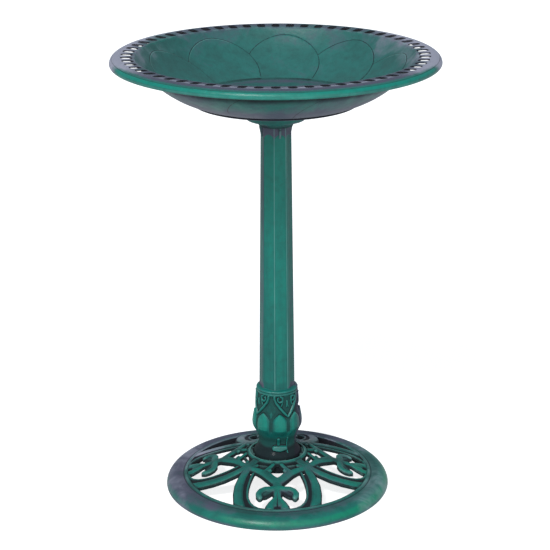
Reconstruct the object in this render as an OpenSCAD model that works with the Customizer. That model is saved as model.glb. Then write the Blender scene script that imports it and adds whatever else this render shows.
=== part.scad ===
// Pedestal bird bath: a wide shallow bowl that twists onto an octagonal column with a leaf
// collar, which twists into an openwork foot of four fleur motifs.
// Millimetres, +Z up, origin on the ground at the centre of the foot, front towards -Y.

/* [Overall] */
// Height of the rim crest above the ground
total_h = 711; // [700:1:730]
// Outside diameter of the bowl
bowl_d = 504; // [490:1:520]
// Outside diameter of the foot ring
foot_d = 362; // [356:1:380]

/* [Bowl] */
// Wall thickness of the bowl moulding
bowl_t = 3; // [2.5:0.1:3.5]
// Depth from the rim crest to the basin floor
basin_depth = 68; // [66:0.5:70]
// Radius of the flat basin floor
floor_r = 128; // [124:1:130]
// Number of slots round the rim
slot_count = 60; // [30:1:64]
// Length of a rim slot along the radius
slot_len = 18; // [12:0.5:18]
// Width of a rim slot
slot_w = 12.6; // [8:0.2:13]

/* [Twist locks] */
// Outside radius of the socket under the bowl
socket_r = 46; // [45:0.5:48]
// Height of the socket's lower edge above the ground
socket_z = 610; // [609:0.5:611]
// Number of lugs in each twist lock
lug_count = 4; // [3:1:4]
// Angle that one lug covers
lug_angle = 34; // [28:1:36]
// Radial running gap between the lugs and the socket wall
lug_gap = 0.5; // [0.4:0.1:0.8]

/* [Column] */
// Corner radius of the octagon where it enters the collar
shaft_r_low = 28.9; // [28:0.1:29.5]
// Corner radius of the octagon under the cap
shaft_r_top = 24.6; // [24:0.1:25.5]
// Wall thickness of the column
shaft_t = 3; // [2.5:0.1:3.5]
// Turn of the octagon's corners from the X axis
shaft_turn = -7; // [-22:0.5:22]

/* [Collar] */
// Largest radius of the collar over its leaves
collar_r = 40; // [39:0.5:41]
// Turn of the leaves and latch tabs from the front
leaf_turn = 7; // [-20:1:20]
// Angle that a latch tab covers
latch_angle = 38; // [20:1:44]
// Number of leaves round the collar
leaf_count = 8; // [6:1:8]

/* [Foot] */
// Thickness of the openwork plate
lace_t = 7; // [5:0.5:8]
// Height of the foot ring
ring_h = 20; // [19:0.5:21]
// Number of fleur motifs
motif_count = 4; // [4:1:4]

/* [Hardware] */
// Diameter of the threaded tie rod
rod_d = 8; // [6:1:8]
// Width of the nuts across their flats
nut_af = 13; // [12:0.5:13]
// Shank diameter of the small screws
screw_d = 3.5; // [3:0.1:4]

/* [Hidden] */
$fn = 96;

resin_green = [0.14, 0.45, 0.41];
resin_dark = [0.16, 0.30, 0.30];
steel = [0.72, 0.73, 0.75];
rubber_black = [0.09, 0.09, 0.10];

eps = 0.02;
clear = 0.3;          // gap between parts that only sit near each other
fit = 0.05;           // radial gap of a close fit
rim_r = bowl_d / 2;
foot_r = foot_d / 2;

// Bowl heights
floor_z = total_h - basin_depth;
under_z = floor_z - bowl_t;
bead_z = under_z - 4;
slot_out_r = rim_r - 17.4;
slot_in_r = slot_out_r - slot_len;

// Twist locks
lug_h = 3;
ledge_h = 3;
ledge_depth = 3.4;
lug_step = 360 / lug_count;
ledge_angle = lug_angle + 6;
stop_angle = 2.4;

// Socket and cap
web_t = 3;
boss_h = 8;
boss_r = 5;
boss_ring_r = 30;
web_z = under_z - boss_h - web_t;
socket_wall = 3;
bore_r = socket_r - socket_wall;
ledge_in_r = bore_r - ledge_depth;
ledge_z = socket_z + 3;
drum_r = ledge_in_r - 0.6;
lug_z = ledge_z + ledge_h + clear;
pad_t = 2;
drum_top = web_z - pad_t - clear;
drum_t = 3;

// Column heights
cap_flange_z = 600;
cap_flange_h = 6;
cap_flange_r = 26.6;
rib_h = 16;
rib_t = 3;
rib_turn = 15.5;
shaft_top = cap_flange_z;
shaft_bottom = 140;
taper_low_z = 184;
taper_top_z = 577;
spigot_len = 30;

// Collar heights
collar_top = 172;
shelf_t = 6;
plug_flange_t = 6;
shelf_top = shaft_bottom - plug_flange_t;
shelf_low = shelf_top - shelf_t;
latch_z = 69.5;
latch_h = 7;
leaf_low = 97;
leaf_tip = 134;

// Foot
hub_r = 46;
hub_wall = 3;
hub_top = 57;
hub_floor = 44;
hub_floor_t = 4;
hub_low = 36;
hub_bore_r = hub_r - hub_wall;
hub_hole_r = 27;
hub_ledge_in_r = hub_bore_r - 4.4;
collar_foot = hub_floor + hub_floor_t + fit;
collar_foot_r = hub_ledge_in_r - 0.6;
hub_lug_z = collar_foot + 0.5;
hub_ledge_z = hub_lug_z + lug_h + clear;
lace_in_r = hub_r - 1;
ring_in_r = 148;
washer_r = 12;
washer_t = 1.6;
nut_h = 6.5;

function bez2(a, b, c, n = 8) =
    [for (i = [0:n]) let (t = i / n) (1 - t) * (1 - t) * a + 2 * t * (1 - t) * b + t * t * c];

function bez3(a, b, c, d, n = 8) =
    [for (i = [0:n]) let (t = i / n, s = 1 - t)
        s * s * s * a + 3 * s * s * t * b + 3 * s * t * t * c + t * t * t * d];

// Half width between the corners of the column at height z
function shaft_corner(z) =
    shaft_r_low + (shaft_r_top - shaft_r_low) * (z - taper_low_z) / (taper_top_z - taper_low_z);

// Height of the openwork's top surface at radius r
function lace_z(r) = hub_top - (hub_top - ring_h) * (r - hub_r) / (ring_in_r - hub_r);

module pie(r, angle) {
    // Sector that is centred on +X
    n = 8;
    polygon(concat([[0, 0]], [for (i = [0:n]) let (a = angle * (i / n - 0.5)) r * [cos(a), sin(a)]]));
}

module arc_block(r_in, r_out, angle, h) {
    // Piece of a ring that is centred on +X, as a lug, ledge or stop
    linear_extrude(h) intersection() {
        difference() {
            circle(r = r_out);
            circle(r = r_in);
        }
        pie(r_out + 10, angle);
    }
}

module tapered_octagon(z0, z1, inset) {
    // Solid octagonal taper, cut from a block by eight leaning half spaces
    lean = atan((shaft_corner(z0) - shaft_corner(z1)) * cos(22.5) / (z1 - z0));
    big = 120;
    intersection() {
        translate([-big / 2, -big / 2, z0]) cube([big, big, z1 - z0]);
        intersection_for (i = [0:7]) {
            rotate(shaft_turn + 22.5 + 45 * i)
                translate([shaft_corner(z0) * cos(22.5) - inset, 0, z0])
                    rotate([0, -lean, 0])
                        translate([-big, -big / 2, -big / 2]) cube([big, big, z1 - z0 + big]);
        }
    }
}

module round_slot(r_in, r_out, w) {
    // Slot along +X with round ends
    translate([r_in + w / 2, 0]) circle(d = w);
    translate([r_out - w / 2, 0]) circle(d = w);
    translate([r_in + w / 2, -w / 2]) square([r_out - r_in - w, w]);
}

module bowl_section() {
    wall_out = bez2([floor_r + 6, under_z + 1], [rim_r - 68, floor_z + 18], [rim_r - 38, total_h - 6]);
    wall_in = bez2([rim_r - 38, total_h - 2.4], [rim_r - 71, floor_z + 21.6], [floor_r, floor_z]);
    lip_top = bez3([rim_r - 16, total_h], [rim_r - 8, total_h], [rim_r - 1, total_h - 3],
                   [rim_r, total_h - 9.6]);
    lip_under = bez3([rim_r - 4.6, total_h - 11], [rim_r - 4.4, total_h - 6], [rim_r - 10, total_h - 3.4],
                     [rim_r - 17, total_h - 3]);
    polygon(concat(
        [[0, under_z], [floor_r - 4, under_z], [floor_r - 3, bead_z], [floor_r, bead_z],
         [floor_r + 1.5, bead_z + 1.5], [floor_r, bead_z + 3]],
        wall_out,
        [[rim_r - 34, total_h - 5.4]],
        [for (i = [len(lip_under) - 1:-1:0]) lip_under[i]],
        [[rim_r - 3, total_h - 13], [rim_r - 1, total_h - 12]],
        [for (i = [len(lip_top) - 1:-1:0]) lip_top[i]],
        [[rim_r - 34, total_h - 1.6]],
        wall_in,
        [[0, floor_z]]));
}

module bowl() {
    color(resin_green) {
        difference() {
            rotate_extrude() bowl_section();
            for (i = [0:slot_count - 1]) {
                rotate(360 / slot_count * i)
                    translate([0, 0, total_h - 12])
                        linear_extrude(24) round_slot(slot_in_r, slot_out_r, slot_w);
            }
        }
        for (i = [0:3]) {
            rotate(90 * i + 45) translate([boss_ring_r, 0, under_z - boss_h]) difference() {
                cylinder(r = boss_r, h = boss_h + 0.5);
                translate([0, 0, -1]) cylinder(d = screw_d + 2 * fit, h = boss_h);
            }
        }
    }
}

module bowl_socket() {
    color(resin_green) {
        difference() {
            rotate_extrude() polygon([
                [0, web_z], [bore_r, web_z], [bore_r, socket_z], [socket_r - 1, socket_z],
                [socket_r, socket_z + 1.5], [socket_r + 1, socket_z + 7], [socket_r + 2.5, socket_z + 8.5],
                [socket_r + 2.5, under_z - fit], [bore_r, under_z - fit], [bore_r, web_z + web_t],
                [0, web_z + web_t]]);
            for (i = [0:3]) {
                rotate(90 * i + 45) translate([boss_ring_r, 0, web_z - 1])
                    cylinder(d = screw_d + 0.4, h = web_t + 2);
            }
        }
        for (i = [0:lug_count - 1]) {
            rotate(lug_step * i) {
                translate([0, 0, ledge_z]) arc_block(ledge_in_r, bore_r + 1, ledge_angle, ledge_h);
                rotate((ledge_angle - stop_angle) / 2 - 0.2) translate([0, 0, ledge_z + 1])
                    arc_block(ledge_in_r, bore_r + 1, stop_angle, ledge_h + lug_h + 1);
            }
        }
    }
}

module socket_screws() {
    head_h = 2.4;
    color(steel) for (i = [0:3]) {
        rotate(90 * i + 45) translate([boss_ring_r, 0, web_z - head_h]) {
            difference() {
                cylinder(r = screw_d, h = head_h);
                translate([-2.6, -0.5, -1]) cube([5.2, 1, 2]);
                translate([-0.5, -2.6, -1]) cube([1, 5.2, 2]);
            }
            cylinder(d = screw_d, h = head_h + web_t + 6);
        }
    }
}

module seat_pad() {
    color(rubber_black) translate([0, 0, drum_top]) difference() {
        cylinder(r = drum_r - 1, h = pad_t);
        translate([0, 0, -1]) cylinder(r = boss_ring_r + 6, h = pad_t + 2);
    }
}

module column_cap() {
    drum_floor = cap_flange_z + cap_flange_h;
    color(resin_green) {
        difference() {
            rotate_extrude() polygon([
                [rod_d / 2 + fit, cap_flange_z], [cap_flange_r, cap_flange_z],
                [cap_flange_r, drum_floor - 1], [drum_r - 2, drum_floor + 2], [drum_r, drum_floor + 4],
                [drum_r, drum_top], [boss_ring_r + 6.5, drum_top], [boss_ring_r + 6.5, drum_floor + drum_t],
                [rod_d / 2 + fit, drum_floor + drum_t]]);
        }
        for (i = [0:lug_count - 1]) {
            rotate(lug_step * i) translate([0, 0, lug_z])
                arc_block(drum_r - 1, bore_r - lug_gap, lug_angle, lug_h);
        }
        for (i = [0:3]) {
            rotate(rib_turn + 90 * i) translate([0, rib_t / 2, 0]) rotate([90, 0, 0])
                linear_extrude(rib_t) polygon([
                    [shaft_r_top * cos(22.5) + 0.15, cap_flange_z + eps],
                    [cap_flange_r, cap_flange_z + eps], [cap_flange_r, cap_flange_z - 1.5],
                    [shaft_r_top * cos(22.5) + 0.6, cap_flange_z - rib_h],
                    [shaft_r_top * cos(22.5) + 0.4, cap_flange_z - rib_h]]);
        }
        translate([0, 0, cap_flange_z - spigot_len]) difference() {
            cylinder(r = shaft_r_top * cos(22.5) - shaft_t - 0.6, h = spigot_len);
            translate([0, 0, -1]) cylinder(r = shaft_r_top * cos(22.5) - shaft_t - 4, h = spigot_len + 1);
        }
    }
}

module column_shaft() {
    color(resin_green) difference() {
        intersection() {
            tapered_octagon(shaft_bottom, shaft_top, 0);
            rotate_extrude() polygon([
                [0, shaft_bottom], [shaft_corner(shaft_bottom) - 0.8, shaft_bottom],
                [shaft_corner(shaft_top) - 0.8, shaft_top], [0, shaft_top]]);
        }
        tapered_octagon(shaft_bottom - eps, shaft_top + eps, shaft_t);
    }
}

module shaft_plug() {
    plug_r = shaft_corner(shaft_bottom) * cos(22.5) - shaft_t - 0.6;
    color(resin_dark) difference() {
        union() {
            translate([0, 0, shelf_top]) cylinder(r = plug_r + 2.6, h = plug_flange_t - fit);
            translate([0, 0, shaft_bottom - 0.1]) cylinder(r = plug_r, h = 20);
        }
        translate([0, 0, shelf_top - 1]) cylinder(d = rod_d + 1, h = 40);
        translate([0, 0, shelf_top + 10]) cylinder(r = plug_r - 3, h = 40);
    }
}

module collar_outline(grow) {
    polygon([
        [0, collar_foot], [collar_foot_r + grow, collar_foot], [collar_foot_r + grow, 58],
        [34.5 + grow, 64], [31.4 + grow, 72], [31.4 + grow, 81], [34.6 + grow, 90],
        [collar_r - 2.2 + grow, 105], [collar_r - 2 + grow, 113], [34.6 + grow, 130],
        [32.6 + grow, 145], [32.2 + grow, 162], [33.8 + grow, 165], [33.8 + grow, 169],
        [32.6 + grow, collar_top], [0, collar_top]]);
}

module leaf_blade() {
    // Pointed leaf in the plane of tangent and height
    half_w = 12.6;
    belly_z = leaf_low + 12;
    rise = bez2([half_w, belly_z], [half_w - 1, leaf_tip - 12], [0, leaf_tip]);
    root = bez2([0, leaf_low - 2], [half_w - 3, leaf_low - 1], [half_w, belly_z]);
    side = concat(root, rise);
    polygon(concat(side, [for (i = [len(side) - 2:-1:1]) [-side[i][0], side[i][1]]]));
}

module collar_scroll() {
    // Stems that rise from a V to a curl on either side, under the beaded top
    curl_r = 5.6;
    curl_z = 157;
    curl_x = 12.4;
    for (side = [-1, 1]) {
        difference() {
            translate([side * curl_x, curl_z]) circle(r = curl_r);
            translate([side * curl_x, curl_z]) circle(r = 2.2);
        }
        polygon([[0, leaf_tip + 1], [side * 5, leaf_tip + 4], [side * (curl_x + curl_r), curl_z],
                 [side * (curl_x + 2.4), curl_z - 1], [0, leaf_tip + 7]]);
    }
}

module onto_collar(turn) {
    // Carries a flat pattern in tangent and height outwards through the collar's skin
    rotate(turn) rotate([90, 0, 90]) linear_extrude(60) children();
}

module collar() {
    color(resin_green) {
        difference() {
            union() {
                rotate_extrude() collar_outline(0);
                intersection() {
                    rotate_extrude() collar_outline(2);
                    for (i = [0:leaf_count - 1]) onto_collar(360 / leaf_count * i + leaf_turn) leaf_blade();
                }
                intersection() {
                    rotate_extrude() collar_outline(1.2);
                    for (i = [0:3]) onto_collar(90 * i + leaf_turn + 24) collar_scroll();
                }
            }
            rotate_extrude() polygon([
                [0, collar_foot - 1], [hub_hole_r, collar_foot - 1], [hub_hole_r, shelf_low],
                [rod_d / 2 + 1, shelf_low], [rod_d / 2 + 1, shelf_top + 0.1], [0, shelf_top + 0.1]]);
            translate([0, 0, shelf_top]) cylinder(r = shaft_corner(shaft_bottom) - 0.4, h = 60);
        }
        for (i = [0:lug_count - 1]) {
            rotate(lug_step * i) translate([0, 0, hub_lug_z])
                arc_block(collar_foot_r - 1, hub_bore_r - lug_gap, lug_angle, lug_h);
        }
        for (i = [0:1]) {
            rotate(180 * i + leaf_turn - 90) {
                translate([0, 0, latch_z]) arc_block(29, 34.6, latch_angle, latch_h);
                translate([0, 0, latch_z + latch_h - 1]) arc_block(29, 33.4, latch_angle / 4, latch_h + 5);
            }
        }
    }
}

module crescent_window() {
    // Window between an arm, a V bar and the stem, with the curled leaf left standing in it
    difference() {
        polygon(concat(
            [[68, 38]],
            bez3([76, 41], [92, 46], [112, 48], [123, 44]),
            bez3([123, 44], [132, 39], [141, 31], [139.5, 24]),
            bez2([139.5, 24], [138, 15], [131, 15]),
            [[124, 12], [108, 7.5], [92, 8.5]]));
        leaf_curl();
    }
}

module leaf_curl() {
    polygon(concat(
        [[96, 5]],
        bez3([98, 11], [94, 26], [104, 36], [117, 36.5]),
        bez2([117, 36.5], [127, 36], [128.5, 31]),
        bez3([128.5, 31], [126, 24], [122, 18], [116, 5])));
}

module diagonal_window() {
    // Rounded triangle between the arms of two neighbouring motifs
    side_in = [82, 0];
    corner = [(ring_in_r - 3) * cos(16), (ring_in_r - 3) * sin(16)];
    edge = bez3(side_in, [98, 16], [118, 31], corner);
    arc_step = 4;
    polygon(concat(
        edge,
        [for (i = [1:7]) let (a = 16 - arc_step * i) (ring_in_r - 2) * [cos(a), sin(a)]],
        [for (i = [len(edge) - 1:-1:1]) [edge[i][0], -edge[i][1]]]));
}

module hub_window() {
    translate([50.5, 21]) rotate(-22) {
        translate([0, -5]) circle(r = 3.4);
        translate([0, 5]) circle(r = 3.4);
        translate([-3.4, -5]) square([6.8, 10]);
    }
}

module diamond_recess() {
    polygon([[53, 0], [66, 10.5], [76, 0], [66, -10.5]]);
}

module base() {
    ring_t = 3;
    color(resin_green) {
        difference() {
            rotate_extrude() polygon([
                [lace_in_r, lace_z(lace_in_r)], [ring_in_r + 1, lace_z(ring_in_r + 1)],
                [ring_in_r + 1, lace_z(ring_in_r + 1) - lace_t], [lace_in_r, lace_z(lace_in_r) - lace_t]]);
            for (k = [0:motif_count - 1]) {
                rotate(90 * k) for (side = [0, 1]) mirror([0, side]) {
                    translate([0, 0, 5]) linear_extrude(60) crescent_window();
                    translate([0, 0, 5]) linear_extrude(60) hub_window();
                }
                rotate(90 * k + 45) translate([0, 0, 5]) linear_extrude(60) diagonal_window();
                rotate(90 * k) translate([0, 0, lace_z(66) - 4]) linear_extrude(20) diamond_recess();
            }
        }
        rotate_extrude() polygon(concat(
            [[ring_in_r - 2, 0], [ring_in_r - 2, ring_h - 4], [ring_in_r, ring_h], [ring_in_r + 3, ring_h],
             [ring_in_r + 5, ring_h - 1.6], [foot_r - 16, ring_h - 1.2]],
            bez3([foot_r - 12, ring_h - 2], [foot_r - 4, ring_h - 4], [foot_r, ring_h - 8], [foot_r, 6]),
            [[foot_r, 0], [foot_r - ring_t, 0]],
            bez3([foot_r - ring_t, 6], [foot_r - ring_t, ring_h - 10], [foot_r - 8, ring_h - 6],
                 [foot_r - 15, ring_h - 4.4]),
            [[ring_in_r + 3, ring_h - 5], [ring_in_r + 1, ring_h - 6], [ring_in_r + 1, 0]]));
        rotate_extrude() polygon([
            [hub_bore_r, hub_top], [hub_r - 1, hub_top + 0.6], [hub_r, hub_top], [hub_r + 0.5, hub_low],
            [hub_bore_r, hub_low], [hub_bore_r, hub_floor], [hub_hole_r, hub_floor],
            [hub_hole_r, hub_floor + hub_floor_t], [hub_bore_r, hub_floor + hub_floor_t]]);
        for (i = [0:lug_count - 1]) {
            rotate(lug_step * i) {
                translate([0, 0, hub_ledge_z])
                    arc_block(hub_ledge_in_r, hub_bore_r + 1, ledge_angle, ledge_h - 1);
                rotate((stop_angle - ledge_angle) / 2 + 0.2) translate([0, 0, hub_floor + 1])
                    arc_block(hub_ledge_in_r, hub_bore_r + 1, stop_angle, hub_ledge_z - hub_floor);
            }
        }
    }
}

module tie_rod() {
    thread_end = 1.5;
    rod_top = cap_flange_z + cap_flange_h + drum_t + washer_t + nut_h + thread_end;
    rod_low = shelf_low - washer_t - nut_h - thread_end;
    color(steel) translate([0, 0, rod_low]) cylinder(d = rod_d, h = rod_top - rod_low);
}

module washer() {
    color(steel) difference() {
        cylinder(r = washer_r, h = washer_t);
        translate([0, 0, -1]) cylinder(d = rod_d + 2 * fit, h = washer_t + 2);
    }
}

module hex_nut() {
    color(steel) difference() {
        intersection() {
            cylinder(d = nut_af / cos(30), h = nut_h, $fn = 6);
            rotate_extrude() polygon([
                [0, 0], [nut_af / 2, 0], [nut_af / 2 + 1.2, 0.7], [nut_af / 2 + 1.2, nut_h - 0.7],
                [nut_af / 2, nut_h], [0, nut_h]]);
        }
        translate([0, 0, -1]) cylinder(d = rod_d + 2 * fit, h = nut_h + 2);
    }
}

module top_washer() {
    translate([0, 0, cap_flange_z + cap_flange_h + drum_t]) washer();
}

module top_nut() {
    translate([0, 0, cap_flange_z + cap_flange_h + drum_t + washer_t]) hex_nut();
}

module bottom_washer() {
    translate([0, 0, shelf_low - washer_t]) washer();
}

module bottom_nut() {
    translate([0, 0, shelf_low - washer_t - nut_h]) hex_nut();
}

bowl();
bowl_socket();
socket_screws();
seat_pad();
column_cap();
column_shaft();
shaft_plug();
collar();
base();
tie_rod();
top_washer();
top_nut();
bottom_washer();
bottom_nut();
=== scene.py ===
"""Looks of a resin pedestal bird bath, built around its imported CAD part.

Shapes are worked out in millimetres and turned into metres when a mesh is made.
Angles are in degrees from +X unless a name or a comment says otherwise; the front
faces -Y.
"""

import math

import bmesh
import bpy
import numpy as np
from mathutils import Matrix, Vector


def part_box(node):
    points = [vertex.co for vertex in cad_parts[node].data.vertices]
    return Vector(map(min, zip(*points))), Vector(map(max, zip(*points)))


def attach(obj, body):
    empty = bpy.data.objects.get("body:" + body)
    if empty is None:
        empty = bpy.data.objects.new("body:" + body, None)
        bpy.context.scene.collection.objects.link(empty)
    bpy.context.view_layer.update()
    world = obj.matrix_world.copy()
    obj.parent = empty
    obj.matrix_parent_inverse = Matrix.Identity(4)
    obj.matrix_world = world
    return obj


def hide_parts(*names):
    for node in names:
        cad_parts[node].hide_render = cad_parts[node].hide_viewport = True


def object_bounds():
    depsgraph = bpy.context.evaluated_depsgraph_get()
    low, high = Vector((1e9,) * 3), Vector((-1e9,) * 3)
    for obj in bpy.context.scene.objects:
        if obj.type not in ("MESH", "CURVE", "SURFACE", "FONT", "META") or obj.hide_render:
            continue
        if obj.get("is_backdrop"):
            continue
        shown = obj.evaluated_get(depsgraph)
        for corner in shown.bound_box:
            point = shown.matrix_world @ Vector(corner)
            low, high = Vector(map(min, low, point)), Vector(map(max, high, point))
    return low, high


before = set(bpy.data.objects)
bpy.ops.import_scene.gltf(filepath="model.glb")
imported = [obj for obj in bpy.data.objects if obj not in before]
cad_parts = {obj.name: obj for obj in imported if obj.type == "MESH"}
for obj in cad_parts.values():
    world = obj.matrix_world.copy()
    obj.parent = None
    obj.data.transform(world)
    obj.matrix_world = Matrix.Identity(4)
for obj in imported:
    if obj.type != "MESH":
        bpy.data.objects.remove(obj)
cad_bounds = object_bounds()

MM = 0.001
FAR = 1e3  # stands for no surface and for beyond reach
BEVEL_ABOVE, SMOOTH_BELOW = 35, 52


def cad_heights(node):
    """Lowest and highest z of a CAD node, in millimetres."""
    low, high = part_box(node)
    return low[2] / MM, high[2] / MM


# Driving sizes, from the frame
HUB_DROP = 2.2
BASIN_DEPTH, BASIN_WALL = 68, 3
RIM_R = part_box("bowl")[1][0] / MM
FOOT_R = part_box("base")[1][0] / MM
TOP_Z = cad_heights("bowl")[1]
HUB_TOP = cad_heights("base")[1] - HUB_DROP
SOCKET_Z = cad_heights("bowl_socket")[0]
CAP_LOW, CAP_TOP = cad_heights("column_cap")
SHAFT_LOW, SHAFT_TOP = cad_heights("column_shaft")
COLLAR_LOW, COLLAR_TOP = cad_heights("collar")
FLOOR_Z = TOP_Z - BASIN_DEPTH
UNDER_Z = FLOOR_Z - BASIN_WALL


# ---------------------------------------------------------------- outlines and fields


def shifted(origin, *points):
    """Points given relative to an origin."""
    return [(origin[0] + x, origin[1] + y) for x, y in points]


def bezier(points, count):
    """Points along a quadratic or cubic Bezier curve, both ends included."""
    t = np.linspace(0, 1, count)[:, None]
    p = np.array(points, float)
    if len(p) == 3:
        return (1 - t) ** 2 * p[0] + 2 * t * (1 - t) * p[1] + t**2 * p[2]
    start = (1 - t) ** 3 * p[0] + 3 * t * (1 - t) ** 2 * p[1]
    return start + 3 * t**2 * (1 - t) * p[2] + t**3 * p[3]


def rounded(points, radius, closed=True, step=3.0, cuts=4):
    """The outline with each corner rounded in a few cuts and its long sides split."""
    p = np.array(points, float)
    n = len(p)
    corners = []
    for i in range(n):
        if not closed and i in (0, n - 1):
            corners.append(p[i : i + 1])
            continue
        to_last, to_next = p[i - 1] - p[i], p[(i + 1) % n] - p[i]
        reach = min(radius, np.hypot(*to_last) * 0.45, np.hypot(*to_next) * 0.45)
        start = p[i] + to_last / np.hypot(*to_last) * reach
        end = p[i] + to_next / np.hypot(*to_next) * reach
        corners.append(bezier([start, p[i], end], cuts + 1))
    p = np.concatenate(corners)
    out = []
    for i in range(len(p) if closed else len(p) - 1):
        a, b = p[i], p[(i + 1) % len(p)]
        pieces = max(1, int(math.ceil(np.hypot(*(b - a)) / step)))
        out.extend(a + (b - a) * k / pieces for k in range(pieces))
    if not closed:
        out.append(p[-1])
    return np.array(out)


def ease(x, low, high):
    """0 below low, 1 above high, and a smooth rise between."""
    t = np.clip((x - low) / (high - low), 0, 1)
    return t * t * (3 - 2 * t)


def near(x, centre, wide, tight):
    """1 within tight of the centre, falling smoothly to 0 at wide from it."""
    return ease(-np.abs(x - centre), -wide, -tight)


def folded(angle, period, centre):
    """Angle measured from the nearest of the evenly spaced centres."""
    return (angle - centre + period / 2) % period - period / 2


def parts_of(points):
    """Radius, x, y and z of each point."""
    x, y, z = points.T
    return np.hypot(x, y), x, y, z


def stroke(points, x, y, drop, lift):
    """A tapering stroke with a rounded top: (distance outside it, height of its top).

    Each point is (x, y, half width). The top falls by drop from the middle to the edge.
    """
    gap = np.full(x.shape, FAR)
    height = np.full(x.shape, -FAR)
    for (x0, y0, w0), (x1, y1, w1) in zip(points[:-1], points[1:]):
        dx, dy = x1 - x0, y1 - y0
        t = np.clip(((x - x0) * dx + (y - y0) * dy) / (dx * dx + dy * dy), 0, 1)
        away = np.hypot(x - x0 - t * dx, y - y0 - t * dy)
        half = w0 + (w1 - w0) * t
        gap = np.minimum(gap, away - half)
        dome = lift - drop * np.minimum(away / half, 1.1) ** 2.6
        height = np.maximum(height, np.where(away < half * 1.25, dome, -FAR))
    return gap, height


def blended(heights, sharpness):
    """The highest of several surfaces, with soft creases where they meet."""
    top = np.max(heights, axis=0)
    total = sum(np.exp(sharpness * np.clip(h - top, -40, 0)) for h in heights)
    return top + np.log(total) / sharpness * 0.5


# ---------------------------------------------------------------- meshes


def grid_faces(rows, columns, close_rows):
    """Quads of a grid whose columns go right round; its rows may close too."""
    i = np.arange(rows if close_rows else rows - 1)[:, None]
    j = np.arange(columns)[None]
    up, right = (i + 1) % rows, (j + 1) % columns
    corners = [i * columns + j, i * columns + right, up * columns + right, up * columns + j]
    return np.stack([np.broadcast_to(c, (len(i), columns)) for c in corners], -1).reshape(-1, 4)


def turned(radius, height, angle):
    """Points from radius, height and angle arrays."""
    a = np.radians(angle)
    return np.stack(np.broadcast_arrays(radius * np.cos(a), radius * np.sin(a), height), -1)


def lathe(outline, columns=192):
    """A closed outline of (radius, height) turned into a ring."""
    angle = np.arange(columns) * 360 / columns
    points = turned(outline[:, :1], outline[:, 1:], angle[None])
    return points.reshape(-1, 3), grid_faces(len(outline), columns, True).tolist()


def slab(low, high, width=0.4, segments=2):
    """A solid between two outlines of 3-D points, with rounded edges."""
    n = len(low)
    bm = bmesh.new()
    made = [bm.verts.new(p) for p in [*low, *high]]
    sides = [[i, (i + 1) % n, n + (i + 1) % n, n + i] for i in range(n)]
    for face in [list(range(n))[::-1], list(range(n, 2 * n)), *sides]:
        bm.faces.new([made[i] for i in face])
    bmesh.ops.recalc_face_normals(bm, faces=bm.faces)
    sharp = [e for e in bm.edges if e.calc_face_angle(0) > math.radians(BEVEL_ABOVE)]
    bmesh.ops.bevel(bm, geom=sharp, offset=width, segments=segments, affect="EDGES")
    bm.verts.index_update()
    points = np.array([v.co for v in bm.verts])
    faces = [[v.index for v in f.verts] for f in bm.faces]
    bm.free()
    return points, faces


def arc_block(r_in, r_out, middle, span, low, high):
    """A lug, ledge or stop: part of a ring about the middle angle."""
    count = max(3, int(span / 4))
    a = np.radians(np.linspace(middle - span / 2, middle + span / 2, count))
    outline = [(r_out * math.cos(t), r_out * math.sin(t)) for t in a]
    outline += [(r_in * math.cos(t), r_in * math.sin(t)) for t in a[::-1]]
    return slab([(x, y, low) for x, y in outline], [(x, y, high) for x, y in outline])


def joined(shapes):
    """Several (points, faces) pairs as one."""
    points, faces, offset = [], [], 0
    for p, f in shapes:
        points.append(np.asarray(p, float))
        faces.extend([[i + offset for i in face] for face in f])
        offset += len(p)
    return np.concatenate(points), faces


def relief_of(mesh, rounds):
    """How far each vertex stands out of the smoothed surface, in millimetres."""
    count = len(mesh.vertices)
    co = np.zeros(count * 3)
    mesh.vertices.foreach_get("co", co)
    co = co.reshape(-1, 3) / MM
    normal = np.zeros(count * 3)
    mesh.vertex_normals.foreach_get("vector", normal)
    edges = np.zeros(len(mesh.edges) * 2, np.int64)
    mesh.edges.foreach_get("vertices", edges)
    a, b = edges.reshape(-1, 2).T
    degree = np.maximum(np.bincount(a, minlength=count) + np.bincount(b, minlength=count), 1)
    smooth = co
    for _ in range(rounds):
        sums = [np.bincount(a, smooth[b, k], count) + np.bincount(b, smooth[a, k], count)
                for k in range(3)]
        smooth = np.stack(sums, -1) / degree[:, None]
    return ((co - smooth) * normal.reshape(-1, 3)).sum(1)


def placed(name, data):
    """A new object in the scene with this data."""
    made = bpy.data.objects.new(name, data)
    bpy.context.scene.collection.objects.link(made)
    return made


def make_piece(name, shape, body, nodes, material, masks, rounds=8):
    """A mesh piece that rides on a body, with the attributes that its paint reads.

    masks are values for each vertex: the wash mask gives extra purple wash and some
    painted shade, the shade mask gives black painted shade, and the wear mask gives pale
    wear and painted highlights. The relief is measured against the shape smoothed in rounds.
    """
    points, faces = shape
    mesh = bpy.data.meshes.new(name)
    mesh.from_pydata((points * MM).tolist(), [], faces)
    bm = bmesh.new()
    bm.from_mesh(mesh)
    bmesh.ops.recalc_face_normals(bm, faces=bm.faces)
    bm.to_mesh(mesh)
    bm.free()
    mesh.polygons.foreach_set("use_smooth", [True] * len(mesh.polygons))
    mesh.set_sharp_from_angle(angle=math.radians(SMOOTH_BELOW))
    values = dict.fromkeys(("wash_and_shade", "shade", "wear_and_highlight"), np.zeros(len(points)))
    values.update(masks, relief=relief_of(mesh, rounds))
    for key, value in values.items():
        layer = mesh.attributes.new(key, "FLOAT", "POINT")
        layer.data.foreach_set("value", value.astype(np.float32))
    mesh.materials.append(material)
    piece = placed(name, mesh)
    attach(piece, body)
    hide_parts(*nodes)


# ---------------------------------------------------------------- materials


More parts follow.
